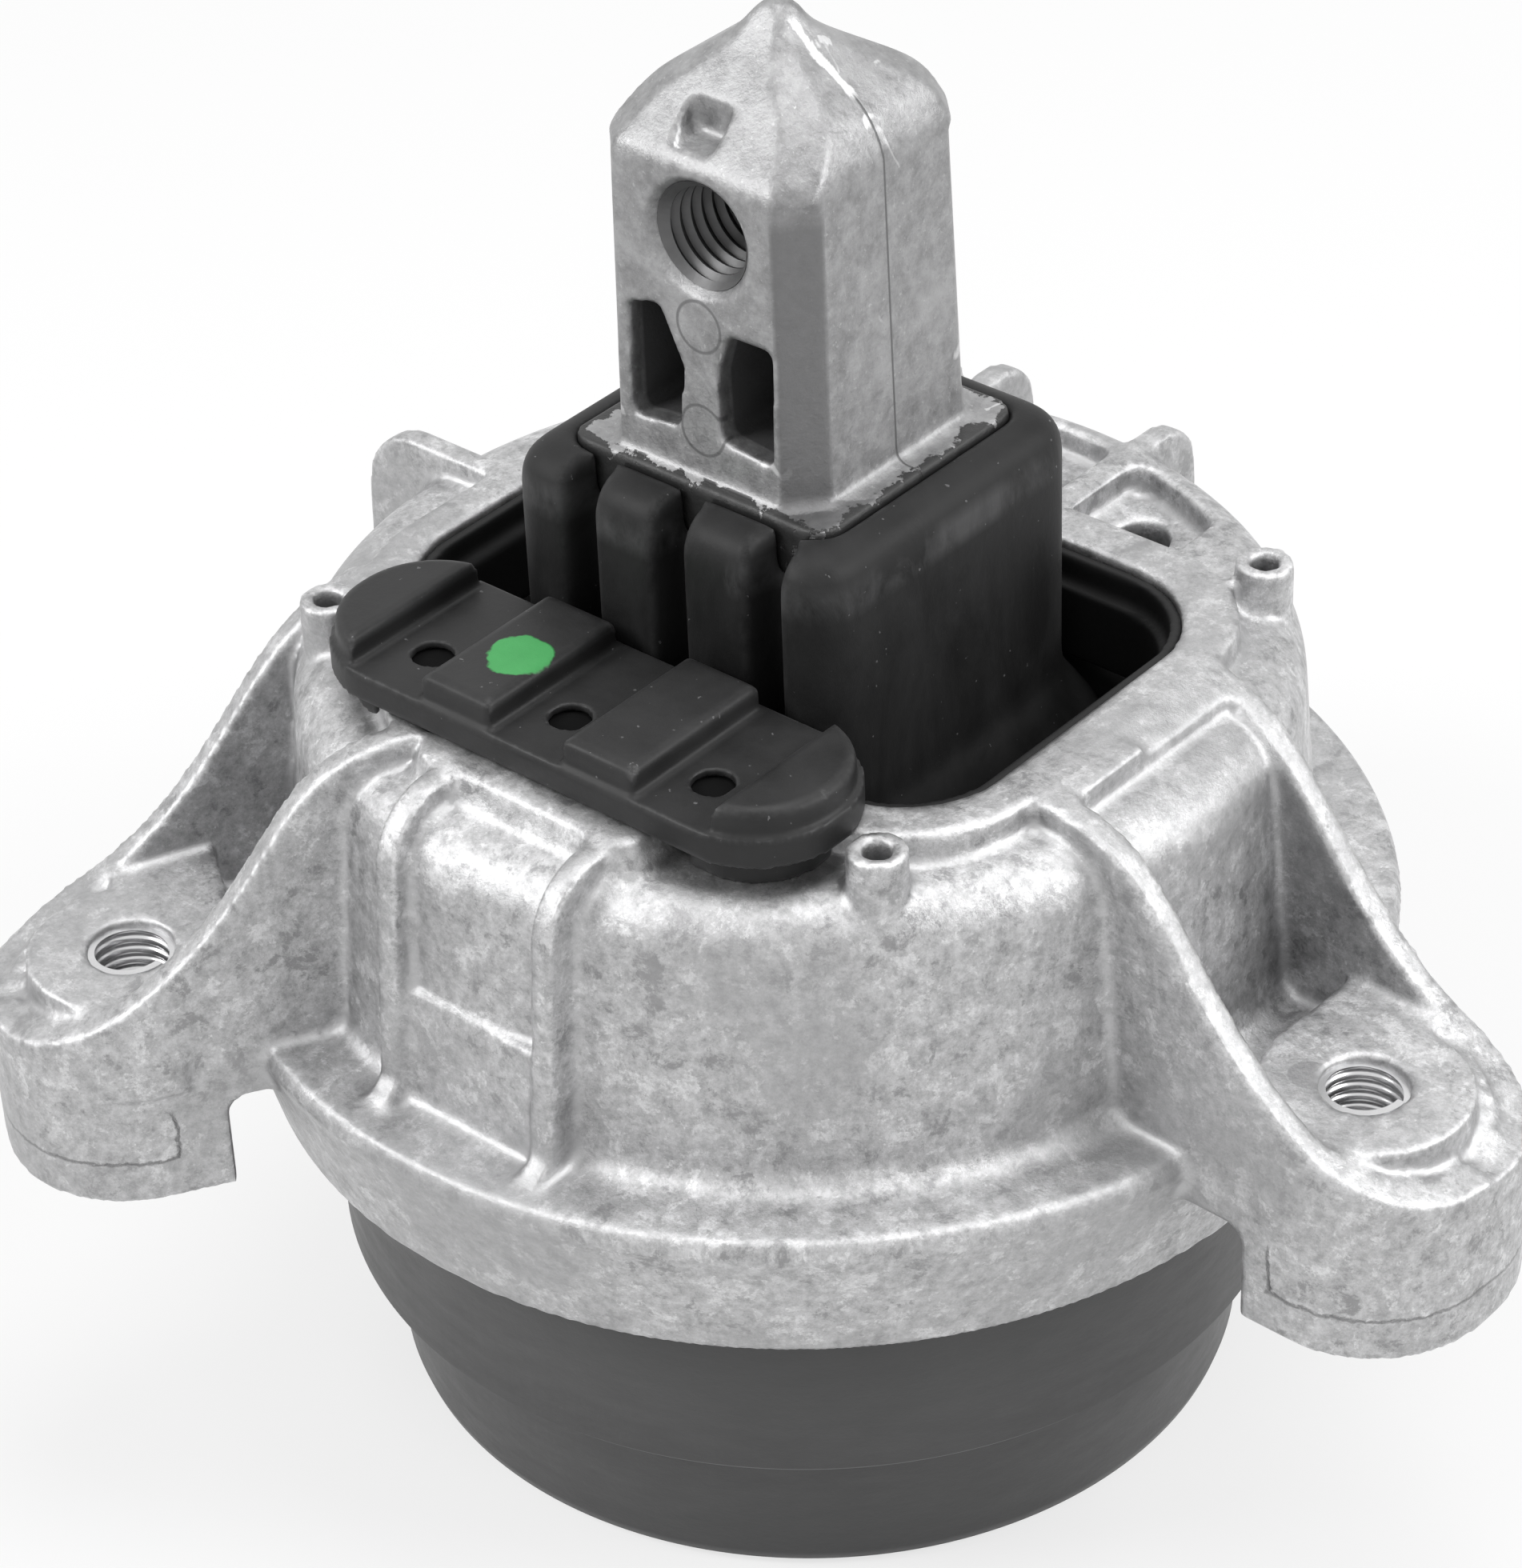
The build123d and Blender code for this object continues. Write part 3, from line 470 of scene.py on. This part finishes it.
# The two mould halves met across the core: a line down each side, ground off over the top.
parting = core_metal.both(
    core_metal.near(core_metal.axis("Y"), PARTING_PLACE, 0.05, 0.16),
    core_metal.ramp(off_middle, *PARTING_INNER),
)
core_metal.tint(parting, PARTING_GREY)
core_edge = core_metal.both(
    core_metal.edges(0.525, 0.6), core_metal.ramp(core_spots, 0.38, 0.56, 0.05, 0.9),
    core_metal.height(CORE_PLATE_TOP + 1.0, CORE_PLATE_TOP + 2.0),
)
core_metal.tint(core_edge, BLAST_EDGE)
ground_gap = core_metal.math(
    "ADD", core_metal.apart(core_metal.axis("Y"), PARTING_PLACE),
    core_metal.ramp(core_spots, 0.3, 0.7, -0.3, 0.3),
)
ground = core_metal.both(
    core_metal.ramp(ground_gap, *GROUND_HALF, 1.0, 0.0), core_metal.height(*GROUND_FOOT),
    core_metal.ramp(core_metal.axis("X"), *GROUND_LEFT),
    core_metal.ramp(core_metal.axis("X"), *GROUND_RIGHT),
)
core_metal.tint(ground, GROUND_BRIGHT)

# Two ejector marks lie between the pockets.
front_side = core_metal.ramp(core_metal.axis("Y"), *CORE_FRONT)
for shot_place in CORE_SHOTS:
    ring = core_metal.both(
        core_metal.near(core_metal.away("XZ", shot_place), CORE_SHOT_RADIUS, 0.1, 0.16),
        front_side,
    )
    core_metal.tint(ring, CORE_SHOT_GREY, 0.75)
    core_metal.bump(ring, -0.5, 0.3)
tarnish = core_metal.noise(120, detail=2.0, rough=0.4)
core_metal.tint(core_metal.ramp(tarnish, 0.755, 0.775), TARNISH_BLACK)

# The edge of the plate is dull, and rubber has crept over its rim in a ragged film.
plate_side = core_metal.height(CORE_PLATE_TOP, CORE_PLATE_TOP - 0.6)
core_metal.tint(plate_side, CORE_PLATE_GREY, 0.8)
past_rim = core_metal.math(
    "MAXIMUM",
    core_metal.math("SUBTRACT", off_middle, CORE_PLATE_HALF[0]),
    core_metal.math(
        "SUBTRACT", core_metal.apart(core_metal.axis("Y"), CORE_PLATE_MIDDLE), CORE_PLATE_HALF[1]
    ),
)
ragged = core_metal.ramp(core_metal.noise(330, detail=5.0, rough=0.65), 0.3, 0.7, -1.0, 1.9)
creep = core_metal.both(
    core_metal.ramp(core_metal.math("ADD", past_rim, ragged), -0.75, -0.5),
    core_metal.height(CORE_PLATE_TOP + 0.5, CORE_PLATE_TOP + 0.25),
)
core_metal.tint(creep, CREPT_RUBBER_BLACK)
# Metal is turned off on the crept rubber and on the painted shade in the pockets.
core_metal.link(
    core_metal.ramp(core_metal.math("MAXIMUM", creep, pit_shade), 0.0, 1.0, 0.7, 0.0),
    core_metal.shader.inputs["Metallic"],
)
core_metal.roughness(core_metal.ramp(core_spots, 0.3, 0.7, 0.34, 0.52))
core_metal.bump(core_spots, 0.3, 0.4)
core_metal.bump(core_grain, 0.3, 0.18)
core_metal.bump(parting, 0.5, 0.2)
core_metal.bump(creep, 0.6, 0.4)

stalk = merged_copy("core", "core_cast")
cut(stalk, hole_cutter(
    "bore_cutter", TAPPED_ROOT, TAPPED_ROOT, HOLE_CUTTER_LEAD, HOLE_DEPTH, segments=64,
))
round_off(stalk, voxel=0.5, passes=3, triangles=190000)
wear(stalk, core_metal)
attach(stalk, "root")
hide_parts("core")

# The thread in the bore is coloured dark as painted shade.
thread_painted_shade = Finish("cut_thread_metal_painted_shade", metallic=0.55, roughness=0.45)
thread_painted_shade.colour(thread_painted_shade.grey(thread_painted_shade.noise(500), 0.09, 0.16))
thread_painted_shade.bump(thread_painted_shade.noise(2500, detail=3.0, rough=0.6, stretch=(1, 0.1, 1)), 0.15, 0.1)
core_thread = thread_solid(
    "core_thread", TAPPED_CREST, TAPPED_ROOT, TAPPED_ROOT + TAPPED_WALL,
    TAPPED_PITCH, TAPPED_TURNS, TAPPED_SHAPE,
)
core_thread.data.transform(
    Matrix.Translation(Vector((HOLE_OFFSET, HOLE_FACE - TAPPED_LEAD, HOLE_HEIGHT)) * mm)
    @ Matrix.Rotation(radians(-90), 4, "X")
)
# The chamfer of the mouth runs on down to the crest of the thread.
cut(core_thread, hole_cutter(
    "mouth_cutter", TAPPED_MOUTH + MOUTH_CUTTER_LEAD, TAPPED_MOUTH - MOUTH_CUTTER_DEPTH,
    MOUTH_CUTTER_LEAD, MOUTH_CUTTER_DEPTH, segments=96,
))
smooth(core_thread, angle=25)
wear(core_thread, thread_painted_shade)
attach(core_thread, "root")


# Housing. One aluminium die casting, tumbled bright: a bell on a clamping flange, three bolt
# ears with falling side walls, upright ribs, hollow posts and a raised rim round the window.
EAR_ANGLES = {"right": -1.1, "left": -124.1, "rear": 124.1}
EAR_HOLE_REACH = 80.0
SEAT_HEIGHT = 71.0
SEAT_SHOT = (74.4, -3.9)
SEAT_SHOT_RADIUS = 2.3
SEAT_SHOT_GREY = (0.3, 0.3, 0.303)
# Each step of a foot: its first and last angle round the seat, outer radius and top.
SEAT_FOOT = (
    (-100, 100, 16.2, 66.0), (14, 100, 14.6, 66.6), (24, 100, 14.4, 67.3),
    (34, 100, 14.2, 68.0), (44, 100, 14.1, 68.7), (54, 100, 14.0, 69.4),
    (-48, -6, 13.3, 67.1), (-48, -20, 13.3, 67.5), (-48, -30, 13.3, 68.0),
    (-48, -38, 13.3, 68.5),
)
SEAT_FOOT_INNER = 11.4
SEAT_FOOT_LOW = 61.0
SEAT_FOOT_SEGMENTS = 48
SEAT_SIDES = {"right": 1, "left": -1, "rear": 1}
DIE_LINE_HEIGHT = 51.6
DIE_LINE_REACH = 79.2
DIE_LINE_TOP = (58.5, 56.5)
DIE_LINE_START = (70.0, 72.0)
DIE_LINE_GREY = (0.2, 0.2, 0.202)
CAST_GREY = (0.36, 0.36, 0.364)
CAST_SILVER = (0.6, 0.6, 0.606)
CAST_SPARK = (0.72, 0.72, 0.726)
CAST_STAIN = (0.27, 0.27, 0.273)
CAST_FOLD = (0.47, 0.47, 0.475)
CAST_WORN = (0.8, 0.8, 0.805)


def ear_middle(angle):
    """The axis of an ear's hole at height 0, in mm."""
    return Vector((cos(radians(angle)), sin(radians(angle)), 0)) * EAR_HOLE_REACH


def add_seat_foot(bm, angle, side):
    """Raise a curved foot in steps in the narrow gap between an ear's seat and its wall."""
    middle = ear_middle(angle)
    for start, end, outer, top in SEAT_FOOT:
        first = radians(angle + (start if side > 0 else -end))
        corners = [
            bm.verts.new((middle + Vector((cos(first) * reach, sin(first) * reach, up))) * mm)
            for reach, up in (
                (SEAT_FOOT_INNER, SEAT_FOOT_LOW), (outer, SEAT_FOOT_LOW),
                (outer, top), (SEAT_FOOT_INNER, top),
            )
        ]
        edges = [bm.edges.new(pair) for pair in zip(corners, corners[1:] + corners[:1])]
        bmesh.ops.spin(
            bm, geom=corners + edges, cent=middle * mm, axis=(0, 0, 1),
            angle=radians(end - start), steps=SEAT_FOOT_SEGMENTS, use_merge=False,
        )


cast_metal = Finish("die_cast_metal", metallic=0.82, roughness=0.36)
broad = cast_metal.noise(27, detail=5.0, rough=0.62)
flakes = cast_metal.noise(640, detail=8.0, rough=0.8)
blots = cast_metal.noise(230, detail=7.0, rough=0.76, distortion=0.2)
speck = cast_metal.noise(1900, detail=4.0, rough=0.75)
rough_skin = cast_metal.ramp(broad, 0.62, 0.46, 0.4, 1.0)
cast_metal.colour(cast_metal.mix(
    cast_metal.both(cast_metal.ramp(flakes, 0.38, 0.62), rough_skin), CAST_GREY, CAST_SILVER,
))
sparks = cast_metal.both(
    cast_metal.ramp(blots, 0.54, 0.6), rough_skin, cast_metal.ramp(speck, 0.3, 0.6)
)
cast_metal.tint(sparks, CAST_SPARK)
stains = cast_metal.both(cast_metal.ramp(blots, 0.45, 0.38, 0.0, 0.85), rough_skin)
cast_metal.tint(stains, CAST_STAIN)
fold = cast_metal.both(
    cast_metal.edges(0.488, 0.462), cast_metal.ramp(blots, 0.62, 0.5, 0.25, 1.0)
)
cast_metal.tint(fold, CAST_FOLD)
worn_edge = cast_metal.both(
    cast_metal.edges(0.528, 0.575), cast_metal.ramp(flakes, 0.4, 0.53, 0.05, 0.9)
)
cast_metal.tint(worn_edge, CAST_WORN)

# An ejector pin left its dull mark on the seat of the right ear.
shot = cast_metal.both(
    cast_metal.near(cast_metal.away("XY", SEAT_SHOT), 0.0, SEAT_SHOT_RADIUS, 0.25),
    cast_metal.height(SEAT_HEIGHT - 3.0, SEAT_HEIGHT - 2.0),
)
cast_metal.tint(shot, SEAT_SHOT_GREY, 0.7)

# The dies met along a low step round the foot of each ear.
for angle in EAR_ANGLES.values():
    outward = cast_metal.along((cos(radians(angle)), sin(radians(angle))))
    inside = cast_metal.math(
        "MINIMUM",
        cast_metal.math("SUBTRACT", cast_metal.axis("Z"), DIE_LINE_HEIGHT),
        cast_metal.math("SUBTRACT", outward, DIE_LINE_REACH),
    )
    inside = cast_metal.math("ADD", inside, cast_metal.ramp(blots, 0.3, 0.7, -0.5, 0.5))
    on_foot = cast_metal.both(
        cast_metal.height(*DIE_LINE_TOP), cast_metal.ramp(outward, *DIE_LINE_START)
    )
    line = cast_metal.both(cast_metal.near(inside, 0.0, 0.05, 0.3), on_foot)
    cast_metal.tint(line, DIE_LINE_GREY, 0.55)
    cast_metal.bump(cast_metal.both(cast_metal.ramp(inside, -0.25, 0.25), on_foot), 0.7, 0.5)
cast_metal.roughness(cast_metal.mix(
    fold, cast_metal.ramp(blots, 0.3, 0.72, 0.31, 0.5), (0.28, 0.28, 0.28),
))
cast_metal.bump(blots, 0.2, 0.6)
cast_metal.bump(flakes, 0.35, 0.3)
cast_metal.bump(speck, 0.25, 0.12)

bell = merged_copy("housing", "housing_cast")
bm = bmesh.new()
bm.from_mesh(bell.data)
for ear, angle in EAR_ANGLES.items():
    add_seat_foot(bm, angle, SEAT_SIDES[ear])
bmesh.ops.holes_fill(bm, edges=[edge for edge in bm.edges if edge.is_boundary], sides=4)
bmesh.ops.recalc_face_normals(bm, faces=bm.faces)
bm.to_mesh(bell.data)
bm.free()
round_off(bell, voxel=0.65, passes=4, triangles=195000)
wear(bell, cast_metal)
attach(bell, "root")
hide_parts("housing")


# Thread inserts. Coils of bright stainless wire, wound into the three ears so that steel
# screws bear on steel. The top coil lies just under the face of the seat.
INSERT_TOP = 70.7
INSERT_PITCH = 1.5
INSERT_TURNS = 13
INSERT_RUN_OUT = 0.8
INSERT_CREST = 4.25
INSERT_ROOT = 4.95
INSERT_WALL = 5.12
INSERT_SHAPE = (
    (0.0, 0.0), (0.14, 0.04), (0.27, 0.18), (0.38, 0.5), (0.5, 1.0),
    (0.62, 0.5), (0.73, 0.18), (0.86, 0.04),
)

wire = Finish("bright_wire", metallic=1.0, roughness=0.27)
wire.colour(wire.grey(wire.noise(300), 0.6, 0.74))
wire.bump(wire.noise(3000, detail=2.0), 0.05, 0.05)
for ear, angle in EAR_ANGLES.items():
    coil = thread_solid(
        f"insert_coil_{ear}", INSERT_CREST, INSERT_ROOT, INSERT_WALL,
        INSERT_PITCH, INSERT_TURNS, INSERT_SHAPE,
    )
    place = ear_middle(angle)
    place.z = INSERT_TOP - (INSERT_TURNS + INSERT_RUN_OUT) * INSERT_PITCH
    coil.data.transform(Matrix.Translation(place * mm))
    smooth(coil, angle=40)
    wear(coil, wire)
    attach(coil, "root")
    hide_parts(f"thread_insert_{ear}")


# Window buffer. A rubber band bonded to the wall of the window, with a ledge half way up,
# that the block meets when the engine pulls sideways.
buffer_rubber = Finish("buffer_rubber", roughness=0.58, specular=0.24)
buffer_rubber.colour(buffer_rubber.grey(buffer_rubber.noise(160), 0.01, 0.02))
buffer_rubber.bump(buffer_rubber.noise(1100), 0.2, 0.2)
band = merged_copy("window_buffer", "window_buffer_moulded")
round_off(band, voxel=0.5, passes=2, triangles=90000)
wear(band, buffer_rubber)
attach(band, "root")
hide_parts("window_buffer")


# Travel stop. A rubber pad moulded over a punched steel strip and set on the front of the
# rim, with raised blocks, three locating holes and a dab of green inspection paint.
STOP_WORN_GREY = (0.085, 0.085, 0.086)
PAINT_PLACE = (-9.05, -36.3, 109.2)
PAINT_RADIUS = 3.55
PAINT_THIN = (0.045, 0.27, 0.075)
PAINT_THICK = (0.075, 0.37, 0.115)

stop_rubber = Finish("stop_rubber", roughness=0.5, specular=0.3)
stop_flow = stop_rubber.noise(120, detail=5.0)
stop_dust = stop_rubber.noise(700, detail=5.0, rough=0.7)
stop_lint = stop_rubber.noise(1150, detail=2.0, rough=0.5)
stop_rubber.colour(stop_rubber.grey(stop_rubber.ramp(stop_flow, 0.3, 0.7), 0.014, 0.026))
stop_worn = stop_rubber.both(
    stop_rubber.edges(0.515, 0.58), stop_rubber.ramp(stop_dust, 0.4, 0.6)
)
stop_rubber.tint(stop_worn, STOP_WORN_GREY)
stop_rubber.tint(stop_rubber.ramp(stop_lint, 0.73, 0.755), LINT_GREY)
paint_edge = stop_rubber.ramp(stop_rubber.noise(260, detail=3.0), 0.3, 0.7, -0.55, 0.55)
paint = stop_rubber.ramp(
    stop_rubber.math("ADD", stop_rubber.away("XYZ", PAINT_PLACE), paint_edge),
    PAINT_RADIUS, PAINT_RADIUS + 0.25, 1.0, 0.0,
)
stop_rubber.tint(paint, stop_rubber.mix(stop_rubber.noise(300), PAINT_THIN, PAINT_THICK))
stop_rubber.roughness(stop_rubber.ramp(stop_flow, 0.3, 0.7, 0.44, 0.56))
stop_rubber.bump(stop_dust, 0.2, 0.25)
stop_rubber.bump(paint, 0.4, 0.15)

pad = merged_copy("travel_stop", "travel_stop_moulded")
round_off(pad, voxel=0.4, passes=2, triangles=150000)
wear(pad, stop_rubber)
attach(pad, "root")
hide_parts("travel_stop")

# The strip is coloured near black as painted shade, so that the holes in the pad look dark.
strip_black_painted_shade = Finish("strip_black_painted_shade", roughness=0.7, specular=0.06)
strip_black_painted_shade.colour(strip_black_painted_shade.grey(strip_black_painted_shade.noise(240), 0.003, 0.007))
wear(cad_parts["stop_strip"], strip_black_painted_shade)


# Studio. A plain pale floor, a white surround and soft lamps, and the camera where the
# photograph was taken from.
FLOOR_HALF = 3.0
FLOOR_PALE = (0.86, 0.86, 0.86, 1)
FLOOR_GLOW = 0.72
WHITE = (1, 1, 1, 1)
SURROUND_STRENGTH = 0.4
LAMP_AIM = (0, 0, 0.08)
CAMERA_PLACE = (0.29608, -0.34366, 0.39451)
CAMERA_AXES = (
    (0.7652, -0.3493, 0.5408),
    (0.6429, 0.4577, -0.6141),
    (-0.0331, 0.8176, 0.5748),
)
CAMERA_LENS = 108.87
CAMERA_SENSOR = 36
CAMERA_NEAR = 0.01


def seen_bare(tree):
    """1 for rays that should meet plain white: the camera's own and reflections."""
    path = tree.nodes.new("ShaderNodeLightPath")
    seen = tree.nodes.new("ShaderNodeMath")
    seen.operation = "MAXIMUM"
    tree.links.new(path.outputs["Is Camera Ray"], seen.inputs[0])
    tree.links.new(path.outputs["Is Glossy Ray"], seen.inputs[1])
    return seen.outputs["Value"]


def lamp(name, place, size, power):
    """A square soft lamp at a place in metres, turned to the mount."""
    light = bpy.data.lights.new(name, "AREA")
    light.shape = "SQUARE"
    light.size = size
    light.energy = power
    holder = bpy.data.objects.new(name, light)
    holder.location = place
    facing = Vector(LAMP_AIM) - Vector(place)
    holder.rotation_euler = facing.to_track_quat("-Z", "Y").to_euler()
    bpy.context.scene.collection.objects.link(holder)


bm = bmesh.new()
bmesh.ops.create_grid(bm, x_segments=1, y_segments=1, size=FLOOR_HALF)
floor = new_piece("floor", bm)
paper = Finish("floor_paper", roughness=0.9)
paper.shader.inputs["Base Color"].default_value = FLOOR_PALE
lit = paper.nodes.new("ShaderNodeEmission")
lit.inputs["Strength"].default_value = 1.0
glow = paper.math("MULTIPLY", seen_bare(paper.material.node_tree), FLOOR_GLOW)
pale = paper.nodes.new("ShaderNodeMixShader")
paper.link(glow, pale.inputs["Fac"])
paper.link(paper.shader.outputs["BSDF"], pale.inputs[1])
paper.link(lit.outputs["Emission"], pale.inputs[2])
paper.link(pale.outputs["Shader"], paper.nodes["Material Output"].inputs["Surface"])
wear(floor, paper)

world = bpy.data.worlds.new("surround")
bpy.context.scene.world = world
world.use_nodes = True
air = world.node_tree
sky = air.nodes["Background"]
sky.inputs["Color"].default_value = WHITE
sky.inputs["Strength"].default_value = SURROUND_STRENGTH
white = air.nodes.new("ShaderNodeBackground")
white.inputs["Color"].default_value = WHITE
surround = air.nodes.new("ShaderNodeMixShader")
air.links.new(seen_bare(air), surround.inputs["Fac"])
air.links.new(sky.outputs["Background"], surround.inputs[1])
air.links.new(white.outputs["Background"], surround.inputs[2])
air.links.new(surround.outputs["Shader"], air.nodes["World Output"].inputs["Surface"])

lamp("left", (-0.5, -0.72, 0.75), size=0.4, power=6.0)
lamp("right", (0.8, 0.37, 0.65), size=0.4, power=5.5)
lamp("top", (0.0, 0.15, 1.1), size=0.5, power=4.0)

eye = bpy.data.cameras.new("camera")
eye.lens = CAMERA_LENS
eye.sensor_width = CAMERA_SENSOR
eye.clip_start = CAMERA_NEAR
camera = bpy.data.objects.new("camera", eye)
camera.matrix_world = Matrix.Translation(CAMERA_PLACE) @ Matrix(CAMERA_AXES).to_4x4()
bpy.context.scene.collection.objects.link(camera)
bpy.context.scene.camera = camera
bpy.context.scene.view_settings.view_transform = "Standard"
